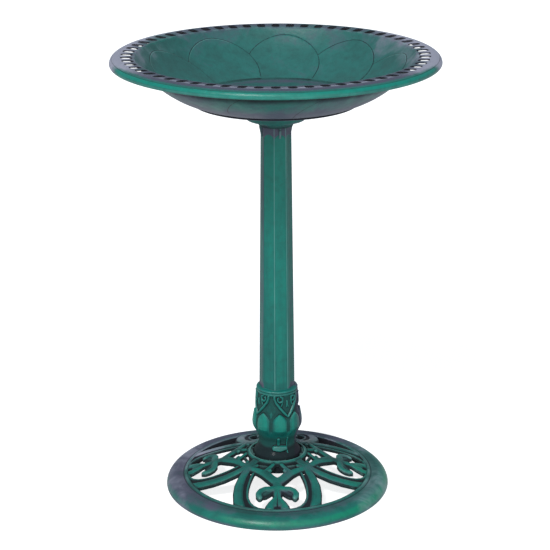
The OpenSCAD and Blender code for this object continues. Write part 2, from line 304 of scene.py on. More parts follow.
def srgb(red, green, blue):
    """An 8-bit screen colour as linear RGBA."""
    c = np.array([red, green, blue]) / 255
    linear = np.where(c <= 0.04045, c / 12.92, ((c + 0.055) / 1.055) ** 2.4)
    return (*linear.tolist(), 1.0)


class Signal:
    """A number or a colour inside a shader. Arithmetic on numbers adds maths nodes."""

    def __init__(self, shader, socket):
        self.shader, self.socket = shader, socket

    def maths(self, operation, other=0.0):
        """The result of a maths node on this and another value."""
        return self.shader.add("Math", {0: self, 1: other}, 0, operation=operation)

    def __add__(self, other):
        return self.maths("ADD", other)

    def __sub__(self, other):
        return self.maths("SUBTRACT", other)

    def __mul__(self, other):
        return self.maths("MULTIPLY", other)

    def __abs__(self):
        return self.maths("ABSOLUTE")

    def or_more(self, other):
        """The larger of the two."""
        return self.maths("MAXIMUM", other)

    def clamped(self):
        """The same sum or product, kept within 0 to 1."""
        self.socket.node.use_clamp = True
        return self

    def span(self, low, high, out_low=0.0, out_high=1.0):
        """Taken smoothly from low..high to out_low..out_high."""
        inputs = {"Value": self, "From Min": low, "From Max": high, "To Min": out_low,
                  "To Max": out_high}
        return self.shader.add("MapRange", inputs, "Result", interpolation_type="SMOOTHSTEP")


class Shader:
    """Short ways to add nodes to one material or world."""

    def __init__(self, owner):
        self.owner = owner
        owner.use_nodes = True
        self.tree = owner.node_tree

    def put(self, socket, value):
        """Links a signal to the socket, or sets a constant."""
        if isinstance(value, Signal):
            self.tree.links.new(value.socket, socket)
        else:
            socket.default_value = value

    def add(self, kind, inputs, output, **settings):
        """One output of a new node with these inputs and settings."""
        node = self.tree.nodes.new("ShaderNode" + kind)
        for key, value in settings.items():
            setattr(node, key, value)
        for key, value in inputs.items():
            self.put(node.inputs[key], value)
        return Signal(self, node.outputs[output])

    def attribute(self, name):
        """A mask that make_piece stored on the mesh, 0 where it has none."""
        return self.add("Attribute", {}, "Fac", attribute_name=name)

    def seen(self):
        """1 for what the camera sees, 0 for light that bounces."""
        return self.add("LightPath", {}, "Is Camera Ray")

    def noise(self, scale, detail=3.0, rough=0.5, stretch=(1, 1, 1), distortion=0.0):
        """Noise of about -0.5..0.5 whose features are 1/scale metres across."""
        position = self.add("TexCoord", {}, "Object")
        spot = self.add("Mapping", {"Scale": stretch, "Vector": position}, 0)
        inputs = {"Vector": spot, "Scale": scale, "Detail": detail, "Roughness": rough,
                  "Distortion": distortion}
        return self.add("TexNoise", inputs, "Fac") - 0.5

    def mix(self, amount, a, b):
        """Colour a turning into colour b as the amount goes from 0 to 1."""
        return self.add("Mix", {"Factor": amount, "A": a, "B": b}, "Result", data_type="RGBA")

    def bump(self, height, distance, strength, under=None):
        """A bump of the height, in metres, on top of the one under it."""
        inputs = {"Strength": strength, "Distance": distance, "Height": height}
        if under is not None:
            inputs["Normal"] = under
        return self.add("Bump", inputs, "Normal")

    def feed(self, node_name, inputs):
        """Puts the inputs on the node that the surface or the world ends with."""
        for key, value in inputs.items():
            self.put(self.tree.nodes[node_name].inputs[key], value)
        return self.owner


PAINT = dict(
    deep=srgb(4, 94, 88),
    bright=srgb(6, 118, 106),
    # Purple-grey wash, also laid on as painted shade
    wash_and_shade=srgb(84, 77, 100),
    # Black for a dark mottle, the petals' lines and the hollows, where it is partly painted shade
    dark=srgb(22, 22, 30),
    rub=srgb(10, 134, 118),
    fresh=srgb(8, 132, 102),
    # Pale wear, also laid on as painted highlights
    wear_and_highlight=srgb(120, 176, 168),
    # Pale lavender painted sheen
    painted_sheen=srgb(176, 175, 192),
)


WASH_MIDDLE = 0.42
PAINT_ROUGHNESS = 0.42


def antique_resin(name, wash_level=0.0, wash_gain=4.5, rub=PAINT["rub"], rub_level=1.0,
                  streak=(1, 1, 1), petals=False, cavity=(-0.05, -0.55),
                  clean_colour=PAINT["rub"], base=(PAINT["deep"], PAINT["bright"])):
    """Green paint with a purple-grey wash left in its hollows, rubbed ridges, and painted shade,
    sheen and highlights laid on by its masks.
    """
    s = Shader(bpy.data.materials.new(name))
    cloud, brush = s.noise(7, 4, 0.55), s.noise(26, 5, 0.6, streak, 0.6)
    speck, mottle = s.noise(260, 3, 0.6), s.noise(95, 6, 0.7)
    relief, wash_and_shade, sheen_mask = s.attribute("relief"), s.attribute("wash_and_shade"), s.attribute("painted_sheen")
    colour = s.mix((cloud + brush).span(-0.22, 0.22), *base)

    # Rubbed ridges, clean patches and a dark mottle
    ridge = (relief + brush * 0.25).span(0.15, 0.7)
    colour = s.mix((ridge * rub_level).clamped(), colour, rub)
    colour = s.mix((brush * 0.8 - wash_and_shade).span(0.1, 0.6, 0.0, 0.9), colour, clean_colour)
    colour = s.mix(mottle.span(-0.3, 0.12, 0.25, 0.0), colour, PAINT["dark"])

    # Wash in brushed patches, with painted shade where the wash mask carries it, then a pale painted
    # sheen
    patches = brush * 0.9 + cloud * 0.9 + speck * 0.25
    amount = ((wash_and_shade + (wash_level - WASH_MIDDLE) + patches) * wash_gain + 0.5).clamped()
    colour = s.mix(amount * 0.85, colour, PAINT["wash_and_shade"])
    painted_sheen = sheen_mask + (brush + cloud) * 0.8 * sheen_mask.span(0.0, 0.2)
    colour = s.mix(painted_sheen.span(0.12, 0.75, 0.0, 0.78), colour, PAINT["painted_sheen"])

    # Black in hollows and creases, partly dark wash and partly painted shade, and black painted
    # shade from the shade mask; then pale worn edges and painted highlights
    painted_shade = (s.attribute("shade") + brush * 0.5).clamped()
    hollow = (relief + speck * 0.2).span(*cavity).or_more(painted_shade.span(0.15, 0.85))
    colour = s.mix(hollow * 0.92, colour, PAINT["dark"])
    wear_and_highlight = s.attribute("wear_and_highlight").or_more(relief.span(0.9, 2.2, 0.0, 0.4))
    colour = s.mix(wear_and_highlight * brush.span(-0.2, 0.2, 0.25, 1.0), colour, PAINT["wear_and_highlight"])

    if petals:
        outline, side = s.attribute("petal_rim"), s.attribute("petal_side")
        side_line = abs(side).span(0.85, 0.3) * outline.maths("GREATER_THAN", 0.0)
        line = abs(outline).span(0.85, 0.3).or_more(side_line)
        # A pale painted highlight just inside each petal's outline, then the dark line of the
        # outline
        edge = abs(outline - 1.3).span(0.8, 0.2) * s.noise(12, 2).span(0.0, 0.15, 0.0, 0.35)
        colour = s.mix(edge, colour, PAINT["wear_and_highlight"])
        broken = (brush + speck).span(-0.25, 0.05, 0.45, 0.95)
        colour = s.mix(line * broken, colour, PAINT["dark"])

    grain = s.bump(speck, 0.0004, 0.35)
    return s.feed("Principled BSDF", {
        "Base Color": colour,
        "Roughness": (brush * 0.22 + amount * 0.1 + hollow * 0.6 + PAINT_ROUGHNESS).clamped(),
        "Specular IOR Level": 0.36,
        "Coat Weight": 0.06,
        "Coat Roughness": 0.2,
        "Normal": s.bump(s.noise(80, 3), 0.0014, 0.45, grain),
    })


def plated_steel():
    """Zinc-plated steel, with fine turning marks and duller patches."""
    s = Shader(bpy.data.materials.new("plated_steel"))
    patch, lines = s.noise(90, 3), s.noise(60, 2, 0.5, (1, 1, 40))
    return s.feed("Principled BSDF", {
        "Base Color": s.mix(patch.span(-0.2, 0.2), srgb(150, 152, 156), srgb(196, 198, 202)),
        "Metallic": 1.0,
        "Roughness": (patch + lines).span(-0.3, 0.3, 0.24, 0.46),
        "Normal": s.bump(lines, 0.0001, 0.3),
    })


def black_rubber():
    """Matt rubber with a fine grain and pale dust."""
    s = Shader(bpy.data.materials.new("black_rubber"))
    dust = s.noise(120, 4, 0.6)
    return s.feed("Principled BSDF", {
        "Base Color": s.mix(dust.span(0.0, 0.3), srgb(26, 26, 28), srgb(58, 57, 56)),
        "Roughness": dust.span(-0.3, 0.3, 0.68, 0.9),
        "Normal": s.bump(s.noise(1500, 2), 0.0001, 0.5),
    })


# ---------------------------------------------------------------- bowl

SLOTS = 60
SLOT_HALF = 6.3
SLOT_IN, SLOT_OUT = RIM_R - 35.4, RIM_R - 17.4
SLOT_EDGE, SLOT_ROUND = 0.5, 0.3
SLOT_CORNER = 5.6
SLOT_SQUARE = 0.75
LIP_IN = RIM_R - 16
RIM_RISE, RIM_RUN = 1.4, 22
RIM_THICK = 1.9

# The mesh: a slot takes up the middle columns of its pitch, where COLUMN is near 0
SLOT_ROWS, SLOT_COLUMNS = 4, 4
PITCH_COLUMNS = 12
BOWL_COLUMNS = SLOTS * PITCH_COLUMNS
FLOOR_RINGS, UNDER_RINGS = (8, 28, 52, 78, 100, 114), (80, 44, 8)
COLUMN = np.arange(-PITCH_COLUMNS // 2, PITCH_COLUMNS // 2)
COLUMN_TURN = np.radians(np.clip(np.abs(COLUMN), 0, SLOT_COLUMNS) * 90 / SLOT_COLUMNS)

PETALS = 10
PETAL_CENTRE = 13.8
PETAL_HALF = 21.7
PETAL_TIP, PETAL_BELLY = 53.3, 125.0
PETAL_POWER = 1.75
PETAL_RISE, OUTSIDE_SHARE = 0.95, 0.35
WALL_LEAN = 0.82
WALL_START = 39.8
NO_LINE = 50.0

WALL_IN = bezier([(RIM_R - 124, FLOOR_Z), (RIM_R - 71, FLOOR_Z + 21.6),
                  (LIP_IN - RIM_RUN, TOP_Z - RIM_RISE)], 59)


def petal_half_width(along):
    """Half the angle that a petal covers at a distance down the bowl's inside."""
    left = 1 - np.clip((along - PETAL_TIP) / (PETAL_BELLY - PETAL_TIP), 0, 1)
    return PETAL_HALF * (1 - left**PETAL_POWER) ** (1 / PETAL_POWER)


def petal_fields(along, angle):
    """Signed distances to the petals' outline and sides, and the height of the relief."""
    u = np.abs(folded(angle, 360 / PETALS, PETAL_CENTRE))
    reach, step = PETAL_BELLY - PETAL_TIP, 0.2

    def tip_line(u):
        """How far down the wall a petal's outline is, at an angle from its middle."""
        return PETAL_BELLY - reach * (1 - (u / PETAL_HALF) ** PETAL_POWER) ** (1 / PETAL_POWER)

    radius = RIM_R - along * WALL_LEAN
    slope = (tip_line(u + step) - tip_line(u)) / (step * np.pi / 180 * radius)
    outline = (along - tip_line(u)) / np.hypot(1, slope)
    phase = (angle - PETAL_CENTRE + petal_half_width(along)) / (360 / PETALS)
    side = np.sin(np.pi * phase) * radius * 0.2
    shingle = 0.35 + 0.65 * (1 - phase % 1) ** 1.5
    return outline, side, PETAL_RISE * shingle * ease(outline, -0.6, 0.9)


def slot_layout(radius, in_slot):
    """Angles of one pitch's columns at a radius: closer together along a slot."""
    even = COLUMN * 360 / BOWL_COLUMNS
    half = SLOT_HALF + SLOT_EDGE
    radius = max(radius, 2 * half)
    across = half * np.sign(COLUMN) * np.sin(COLUMN_TURN) ** SLOT_SQUARE
    shaped = np.degrees(np.arcsin(across / radius))
    edge, middle = np.degrees(math.asin(half / radius)), 180 / SLOTS
    share = (np.abs(COLUMN) - SLOT_COLUMNS) / (PITCH_COLUMNS / 2 - SLOT_COLUMNS)
    beside = np.sign(COLUMN) * (edge + (middle - edge) * share)
    shaped = np.where(np.abs(COLUMN) > SLOT_COLUMNS, beside, shaped)
    return even + (shaped - even) * in_slot


def rim_height(radius):
    """Height of the rim's top where the slots are."""
    return TOP_Z - RIM_RISE * (LIP_IN - radius) / RIM_RUN


def slot_loop():
    """(column, row) of each point round a slot, from its middle."""
    loop = [(c, 0) for c in range(-SLOT_COLUMNS, SLOT_COLUMNS)]
    loop += [(SLOT_COLUMNS, j) for j in range(SLOT_ROWS)]
    loop += [(c, SLOT_ROWS) for c in range(SLOT_COLUMNS, -SLOT_COLUMNS, -1)]
    return loop + [(-SLOT_COLUMNS, j) for j in range(SLOT_ROWS, 0, -1)]


def bowl_rows():
    """Rows of one pitch from the floor's middle over the rim and back underneath.

    Each row is (radius, height, angle) of its columns. With them go the numbers of the
    rows that cross the slots, and (first row, end, outline, share) of the petals' walls.
    """
    rim = RIM_R, TOP_Z
    wall = WALL_IN[3:]
    floor = [(r, FLOOR_Z) for r in FLOOR_RINGS]
    corner = bezier([(122, FLOOR_Z), (128.4, FLOOR_Z), wall[0]], 5)[:-1]
    lip = bezier(shifted(rim, (-16, 0), (-8, 0), (-1, -3), (0, -9.6)), 13)
    lip_edge = bezier(shifted(rim, (0, -11), (-0.6, -13.4), (-3.4, -13)), 5)
    lip_under = bezier(shifted(rim, (-4.6, -11), (-4.4, -6), (-10, -3.4), (-16, -3)), 5)
    wall_out = bezier(shifted(rim, (-39, -6.4), (-68, -50), (-118, -68.6)), 14)
    bead = shifted((RIM_R, UNDER_Z), (-118.6, 2.1), (-123.6, 0.6), (-122.3, -0.9), (-124, -2.4),
                   (-127, -2.4), (-128, 0), (-136, 0))
    bead = rounded(bead, 1.0, closed=False, step=6, cuts=2)
    under = [(r, UNDER_Z) for r in UNDER_RINGS]
    ends = SLOT_CORNER * (1 - np.cos(COLUMN_TURN).clip(0) ** SLOT_SQUARE)
    rows, holes = [], {}

    def add(outline):
        """Rows along an outline, and their numbers: the first and the end."""
        for radius, height in outline:
            by_slots = near(radius, (SLOT_IN + SLOT_OUT) / 2, 26, 12)
            rows.append((np.full(PITCH_COLUMNS, radius), np.full(PITCH_COLUMNS, height),
                         slot_layout(radius, by_slots)))
        return len(rows) - len(outline), len(rows)

    def add_slots(skin, drop, order):
        """Rows across the slots, a drop below the rim's top."""
        start, end = SLOT_IN - SLOT_EDGE + ends, SLOT_OUT + SLOT_EDGE - ends
        for j in order:
            radius = start + (end - start) * j / SLOT_ROWS
            angle = np.array([slot_layout(r, 1.0)[i] for i, r in enumerate(radius)])
            holes[skin, j] = len(rows)
            rows.append((radius, rim_height(radius) - drop, angle))

    add([*floor, *corner])
    walls = [(*add(wall), wall, 1.0)]
    add_slots("top", 0, range(SLOT_ROWS + 1))
    add([*lip, *lip_edge, *lip_under])
    add_slots("low", RIM_THICK, reversed(range(SLOT_ROWS + 1)))
    walls.append((*add(wall_out), wall_out, OUTSIDE_SHARE))
    add([*bead, *under])
    return rows, holes, walls


def raise_petals(radius, height, angle, walls):
    """Adds the petals to the walls' rows, and gives the distances to their lines."""
    rim_line, side_line = np.full(radius.shape, NO_LINE), np.full(radius.shape, NO_LINE)
    length = np.concatenate([[0], np.cumsum(np.hypot(*np.diff(WALL_IN, axis=0).T))])
    for first, end, curve, share in walls:
        tangent = np.gradient(curve, axis=0)
        tangent /= np.hypot(*tangent.T)[:, None]
        along = WALL_START + length[-1] - np.interp(curve[:, :1], WALL_IN[:, 0], length)
        part = slice(first, end)
        outline, side, rise = petal_fields(np.broadcast_to(along, angle[part].shape), angle[part])
        rise = share * rise * ease(along, WALL_START, WALL_START + 8)
        radius[part] -= tangent[:, 1:] * rise
        height[part] += tangent[:, :1] * rise
        side_line[part] = side
        if share == 1:
            rim_line[part] = outline
    return {"petal_rim": rim_line, "petal_side": side_line}


def without_slots(faces, holes):
    """The skin's faces, less the cells that the slots take up."""
    column = folded(faces[:, 0] % BOWL_COLUMNS, PITCH_COLUMNS, PITCH_COLUMNS // 2)
    in_column = (column >= -SLOT_COLUMNS) & (column < SLOT_COLUMNS)
    cut_rows = [holes["top", j] for j in range(SLOT_ROWS)]
    cut_rows += [holes["low", j + 1] for j in range(SLOT_ROWS)]
    return faces[~(in_column & np.isin(faces[:, 0] // BOWL_COLUMNS, cut_rows))].tolist()


def slot_walls(points, holes):
    """More points and faces, which join the two skins round each slot, with rounded edges."""
    extra, faces, total = [], [], len(points)
    for slot in range(SLOTS):
        middle = slot * PITCH_COLUMNS + PITCH_COLUMNS // 2
        turn = math.radians(slot * 360 / SLOTS)
        out = np.array([math.cos(turn), math.sin(turn)])
        rings = []
        for name, shift in (("top", -SLOT_ROUND), ("low", SLOT_ROUND)):
            skin = [holes[name, j] * BOWL_COLUMNS + (middle + c) % BOWL_COLUMNS
                    for c, j in slot_loop()]
            inner = list(range(total + len(extra), total + len(extra) + len(skin)))
            for p in points[skin]:
                centre = out * np.clip(p[:2] @ out, SLOT_IN + SLOT_CORNER, SLOT_OUT - SLOT_CORNER)
                spot = centre + (p[:2] - centre) * SLOT_HALF / (SLOT_HALF + SLOT_EDGE)
                extra.append((*spot, p[2] + shift))
            rings += [skin, inner] if name == "top" else [inner, skin]
        for upper, lower in zip(rings[:-1], rings[1:]):
            faces += [[upper[i], upper[i - 1], lower[i - 1], lower[i]] for i in range(len(upper))]
    return extra, faces


def bowl_shape():
    """The bowl as one closed skin with its slots cut, and the distances to petal lines."""
    rows, holes, petal_walls = bowl_rows()
    radius, height, angle = (np.tile(np.array(part), SLOTS) for part in zip(*rows))
    angle = angle + np.repeat(np.arange(SLOTS) * 360 / SLOTS, PITCH_COLUMNS)
    fields = raise_petals(radius, height, angle, petal_walls)
    points = turned(radius, height, angle).reshape(-1, 3)
    faces = without_slots(grid_faces(len(rows), BOWL_COLUMNS, False), holes)

    # Fans close the middle of the floor and of the underside
    count = len(points)
    points = np.concatenate([points, [[0, 0, FLOOR_Z], [0, 0, UNDER_Z]]])
    last = count - BOWL_COLUMNS
    faces += [[count, i, (i + 1) % BOWL_COLUMNS] for i in range(BOWL_COLUMNS)]
    faces += [[count + 1, last + (i + 1) % BOWL_COLUMNS, last + i] for i in range(BOWL_COLUMNS)]
    extra, walls = slot_walls(points, holes)
    return np.concatenate([points, extra]), faces + walls, fields


def screw_bosses():
    """Four tubes under the floor that take the socket's screws."""
    bore, outer, low, high = 1.85, 5, UNDER_Z - 8, UNDER_Z + 0.3
    outline = rounded([(bore, low), (outer, low), (outer, high), (bore, high)], 0.4)
    shapes = []
    for turn in np.radians(90 * np.arange(4) + 45):
        points, faces = lathe(outline, 24)
        shapes.append((points + [30 * math.cos(turn), 30 * math.sin(turn), 0], faces))
    return shapes


def bowl_masks(points):
    """Where the bowl's wash, painted shade, painted highlights and painted sheen lie."""
    radius, x, y, z = parts_of(points)
    skin = np.interp(radius, WALL_IN[:, 0], WALL_IN[:, 1]) - BASIN_WALL / 2
    inside, on_rim = z > skin, z > rim_height(radius) - 0.15
    sideways, turned_away = ease(np.abs(x), 40, 150), ease(y, -110, -45)
    lip = ease(radius + 1.5 * (TOP_Z - z), RIM_R - 12, RIM_R + 6) * (radius > LIP_IN)

    # Wash on the floor, round the slots, under the rim and low on the outside. The front of the
    # floor gets more as painted shade under the front rim, and the lip's wash is cleared in front
    # and kept where it turns away, partly as painted sheen
    floor = 0.1 + 0.12 * (1 - ease(radius, 80, 132)) + 0.12 * (1 - ease(y, -215, -60))
    floor += 0.42 * near(radius, 112, 18, 5) * ease(y, 40, 110)
    upper = (0.06 + 0.05 * sideways) * ease(radius, 196 - 26 * sideways, 214 - 8 * sideways)
    band = (0.44 - 0.2 * ease(y, 60, 200)) * ease(radius, 211, 215) * (1 - lip * (1 - turned_away))
    rise = ease(z, FLOOR_Z + 2, FLOOR_Z + 30) * (1 - 0.6 * sideways)
    low = np.where(inside | (z > TOP_Z - 8), 0, 0.72 - 0.5 * rise)
    wash_and_shade = inside * (floor + np.where(radius < 212, upper, 0.1)) + low
    wash_and_shade += band + (1.15 * turned_away - 0.75) * lip

    # Painted shade on the slots' walls, behind the lip, under the rim and in the groove above the
    # bead
    slots = (radius > SLOT_IN - 1) & (radius < SLOT_OUT + 1) & ~on_rim
    behind = (radius > SLOT_OUT + 1) & (radius < RIM_R - 3.2) & (z < TOP_Z - 2.9)
    groove = 1 - ease(np.hypot(radius - (RIM_R - 122.5), z - (UNDER_Z + 0.9)), 1.2, 3.4)
    shadow = 0.6 * ease(z, TOP_Z - 38, TOP_Z - 24) + 0.24 * ease(z, TOP_Z - 62, TOP_Z - 38)
    shadow = shadow * ~inside * (radius < RIM_R - 30)
    shade = np.maximum(np.where(slots, 1.0, np.where(behind, 0.6, shadow)), groove)

    # Painted highlight low on the lip in front, painted sheen on the rim's sides and a painted
    # highlight between the front slots
    wear_and_highlight = 0.22 * near(z, TOP_Z - 10, 2.2, 0.4) * (radius > RIM_R - 1.5) * ease(-y, 60, 200)
    shown = inside & (z > TOP_Z - 40) | (radius > RIM_R - 12)
    flat = (0.34 * ease(radius, 180, 204) + 0.6 * ease(radius, 218, 240)) * shown
    sides = ease(np.abs(x) + 0.1 * y + 0.55 * (RIM_R - radius), 140, 245)
    sides = sides * (flat * (1 - lip) + 0.85 * lip * turned_away)
    bridges = 0.55 * near(radius, SLOT_OUT - 3, 7, 3) * on_rim * ease(-y, 110, 190)
    return {"wash_and_shade": wash_and_shade, "shade": shade, "wear_and_highlight": wear_and_highlight, "painted_sheen": np.maximum(sides, bridges)}


def build_bowl():
    """The bowl with its screw bosses."""
    points, faces, fields = bowl_shape()
    shape = joined([(points, faces), *screw_bosses()])
    masks = bowl_masks(shape[0])
    for key, values in fields.items():
        masks[key] = np.full(len(shape[0]), NO_LINE)
        masks[key][: values.size] = values.ravel()
    paint = antique_resin("bowl_paint", wash_level=0.04, wash_gain=2.6, rub_level=0.3, petals=True,
                          cavity=(-0.35, -0.9), base=(srgb(46, 99, 95), srgb(44, 114, 108)))
    make_piece("bath_bowl", shape, "basin", ["bowl"], paint, masks, 6)


# ---------------------------------------------------------------- twist locks

LUGS = 4
LUG_SPAN, LEDGE_SPAN, STOP_SPAN = 34, 40, 2.4
STOP_SHIFT = (LEDGE_SPAN - STOP_SPAN) / 2 - 0.2
LUG_H, LUG_CLEAR = 3, 0.5
LOCK_WALL = 3
SOCKET_R = 46
SOCKET_BORE = SOCKET_R - LOCK_WALL
SOCKET_LEDGE_IN = SOCKET_BORE - 3.4
HUB_R = 46
HUB_BORE = HUB_R - LOCK_WALL
HUB_LEDGE_IN = HUB_BORE - 4.4


def lock_blocks(r_in, r_out, *blocks):
    """Each block of a lock at its four places: (shift, span, low, high)."""
    return [arc_block(r_in, r_out, 360 / LUGS * i + shift, span, low, high)
            for i in range(LUGS) for shift, span, low, high in blocks]


def build_socket():
    """The cup under the bowl, with the ledges that the cap's lugs turn under."""
    web = UNDER_Z - 11
    ledge = SOCKET_Z + 3
    skirt = rounded([
        (0.6, web), (SOCKET_BORE, web), (SOCKET_BORE, SOCKET_Z), (SOCKET_R - 1, SOCKET_Z),
        *shifted((SOCKET_R, SOCKET_Z), (0, 1.5), (1.2, 6.6), (2.5, 8.2)),
        (SOCKET_R + 2.5, UNDER_Z - 0.05), (SOCKET_BORE, UNDER_Z - 0.05), (SOCKET_BORE, web + 3),
        (0.6, web + 3)], 0.8, step=2.0)
    blocks = lock_blocks(SOCKET_LEDGE_IN, SOCKET_BORE + 1, (0, LEDGE_SPAN, ledge, ledge + 3),
                         (STOP_SHIFT, STOP_SPAN, ledge + 1, ledge + 8))
    shape = joined([lathe(skirt), *blocks])
    masks = {"wash_and_shade": np.where(shape[0][:, 2] < SOCKET_Z + 3, 0.3, 0.12)}
    paint = antique_resin("socket_paint", wash_level=0.05, cavity=(-0.1, -0.5))
    make_piece("socket_skirt", shape, "basin", ["bowl_socket"], paint, masks)


CORNER_LOW, CORNER_TOP = 28.9, 24.6
TAPER_LOW, TAPER_TOP = 184, 577
SHAFT_TURN = -7 - 90
EDGE_ROUND = 3.2
OCTAGON_FLAT = math.cos(math.pi / 8)


def corner_radius(height):
    """Radius of the octagon's corners at a height, before they are rounded."""
    return CORNER_LOW + (CORNER_TOP - CORNER_LOW) * (height - TAPER_LOW) / (TAPER_TOP - TAPER_LOW)


def build_cap():
    """The drum on top of the column, with its neck, lugs and four gusset ribs."""
    flange_r, flange = 26.6, SHAFT_TOP
    flat = CORNER_TOP * OCTAGON_FLAT
    drum_r, bore_r, rod_r = SOCKET_LEDGE_IN - 0.6, 36.5, 4.05
    drum = rounded([
        (rod_r, flange), (flange_r, flange), (flange_r + 0.3, flange + 5), (drum_r - 2, flange + 8),
        (drum_r, flange + 10), (drum_r, CAP_TOP), (bore_r, CAP_TOP), (bore_r, flange + 9),
        (rod_r, flange + 9)], 0.9, step=2.0)
    spigot = rounded([(flat - 7, CAP_LOW), (flat - 3.6, CAP_LOW), (flat - 3.6, flange + 0.5),
                      (flat - 7, flange + 0.5)], 0.5, step=4.0)
    lug = SOCKET_Z + 6.3
    shapes = [lathe(drum), lathe(spigot, 96)]
    shapes += lock_blocks(drum_r - 1, SOCKET_BORE - LUG_CLEAR, (0, LUG_SPAN, lug, lug + LUG_H))
    rib = [(flat - 0.3, flange + 0.6), (flange_r + 0.2, flange + 0.6), (flange_r, flange - 1.5),
           (flat + 0.9, flange - 16), (flat - 0.3, flange - 16.5)]
    for turn in np.radians(15.5 + 90 * np.arange(4)):
        cos, sin = math.cos(turn), math.sin(turn)
        ends = [[(r * cos - side * sin, r * sin + side * cos, z) for r, z in rib]
                for side in (-1.5, 1.5)]
        shapes.append(slab(*ends, 0.55, 3))

    shape = joined(shapes)
    radius, _, _, z = parts_of(shape[0])
    # More wash under the drum's flange, and painted shade on the neck below it
    masks = {"wash_and_shade": 0.25 + 0.3 * ease(-z, -flange, -flange + 8),
             "shade": 0.55 * near(z, flange - 1, 9, 2) * (radius < 29)}
    paint = antique_resin("cap_paint", wash_level=0.05, rub=srgb(80, 110, 116), cavity=(-0.1, -0.5))
    make_piece("column_head", shape, "pedestal", ["column_cap"], paint, masks)


# ---------------------------------------------------------------- column

ARCH_R, ARCH_DEPTH = 9.4, 0.55
ARCH_CENTRE = SHAFT_TOP - 11 - ARCH_R
FACE_COLUMNS = 9
FACE, FACE_MIDDLE = 45, 22.5


def arch_top(across):
    """Height of a face's arch at a distance from the face's middle."""
    return ARCH_CENTRE + np.sqrt(np.clip(ARCH_R**2 - across**2, 0, None))


def octagon_ring(radius):
    """Radius and angle of one ring of a regular octagon with rounded corners."""
    corner = np.array([radius, 0.0])
    half = math.pi / 8
    side = radius * math.sin(half)
    along = np.array([-math.sin(half), math.cos(half)])
    back = along * [1, -1]
    round_points = bezier([corner + back * EDGE_ROUND, corner, corner + along * EDGE_ROUND], 7)
    flat = [corner + along * (EDGE_ROUND + (2 * side - 2 * EDGE_ROUND) * t)
            for t in np.linspace(0, 1, FACE_COLUMNS + 1)[1:-1]]
    ring = np.concatenate([round_points, flat])
    angle = np.degrees(np.arctan2(ring[:, 1], ring[:, 0]))
    angle = np.concatenate([angle + FACE * i for i in range(8)])
    return np.tile(np.hypot(ring[:, 0], ring[:, 1]), 8), angle


def build_column():
    """The tapering octagonal column, whose faces start with a round arch under the cap."""
    heights = np.concatenate([np.arange(SHAFT_LOW, SHAFT_TOP - 34, 5.0),
                              np.linspace(SHAFT_TOP - 34, SHAFT_TOP - 0.5, 36), [SHAFT_TOP]])
    radii, walls = [], []
    for z in heights:
        reach, angles = octagon_ring(corner_radius(z))
        across = reach * np.sin(np.radians(folded(angles, FACE, FACE_MIDDLE)))
        inside = ease(arch_top(across) - z, -0.8, 0.8)
        inside *= 1 - ease(np.abs(across), ARCH_R - 2.4, ARCH_R - 1)
        fade = ease(z, SHAFT_TOP - 120, SHAFT_TOP - 50)
        radii.append(reach - ARCH_DEPTH * inside * fade)
        walls.append(octagon_ring(corner_radius(z) - 3.2)[0])
    radii[-1] = radii[-1] - 0.5
    grid = turned(np.array(radii + walls[::-1]), np.concatenate([heights, heights[::-1]])[:, None],
                  angles[None] + SHAFT_TURN)
    shape = grid.reshape(-1, 3), grid_faces(len(grid), len(angles), True).tolist()

    _, x, y, z = parts_of(shape[0])
    turn = np.degrees(np.arctan2(y, x)) - SHAFT_TURN
    corner = corner_radius(z)
    across = corner * np.sin(np.radians(np.abs(folded(turn, FACE, FACE_MIDDLE))))
    from_edge = CORNER_LOW * np.sin(np.radians(np.abs(folded(turn, FACE, 0))))
    # Painted shade on the faces turned to the left and the right, laid on as wash and shade
    sides = np.maximum(ease(x / corner, 0.6, 0.74), ease(-x / corner, 0.68, 0.79))
    arch = arch_top(across)
    wash_and_shade = 1.1 * ease(z, arch - 1.5, arch + 1.5) + 0.65 * (1 - ease(z, COLLAR_TOP, COLLAR_TOP + 12))
    masks = {"wash_and_shade": wash_and_shade + 0.3 * ease(across, 8, 9.8) - 0.34 + 0.75 * sides,
             # painted shade just under the cap and on the side faces
             "shade": 0.3 * np.maximum(ease(z, SHAFT_TOP - 9, SHAFT_TOP - 2), sides),
             # a painted highlight along the corners, kept off the shaded sides
             "wear_and_highlight": 0.75 * (1 - ease(from_edge, 0.2, 0.9)) * (1 - sides)}
    paint = antique_resin("column_paint", wash_level=-0.14, rub=srgb(40, 130, 124), rub_level=0.5,
                          streak=(1, 1, 0.16), cavity=(-0.15, -0.6))
    make_piece("column_tube", shape, "pedestal", ["column_shaft"], paint, masks)


# ---------------------------------------------------------------- collar

LEAVES = 8
LEAF_FRONT = 7
LEAF_TIP, LEAF_LENGTH = 133.5, 14.5
LEAF_HALF, LEAF_RISE = 19.0, 2.9
SCROLL_FRONT = -16
COLLAR_R, LATCH_R = 36, 32
COLLAR_COLUMNS, COLLAR_STEP = 400, 0.85
LEAF_LOWERED, LATCH_LOWERED = 1.5, 2
BEADS = ((164.4, 1.2), (168.2, 1.0))

# The collar's outline: height and radius
COLLAR_PROFILE = np.array([
    (COLLAR_LOW, 37.6), (COLLAR_LOW + 0.6, 38), (53, 38), (58, 37.6), (61.5, 35.6), (65, 32.6),
    (69, 31), (75, 30.3), (82, 30.6), (87, 32.2), (92, 34.4), (97, 36), (103, 37), (110, 37.5),
    (117, 36.7), (125, 35.2), (134, 33.8), (145, 32.4), (157, 31.9), (161.6, 32), (162.4, 32.8),
    (163.8, 33.7), (165.2, 33.6), (166.2, 32.6), (167, 32.6), (168, 33.4), (169, 33.2),
    (171.5, 31.6), (COLLAR_TOP, 28.6)])

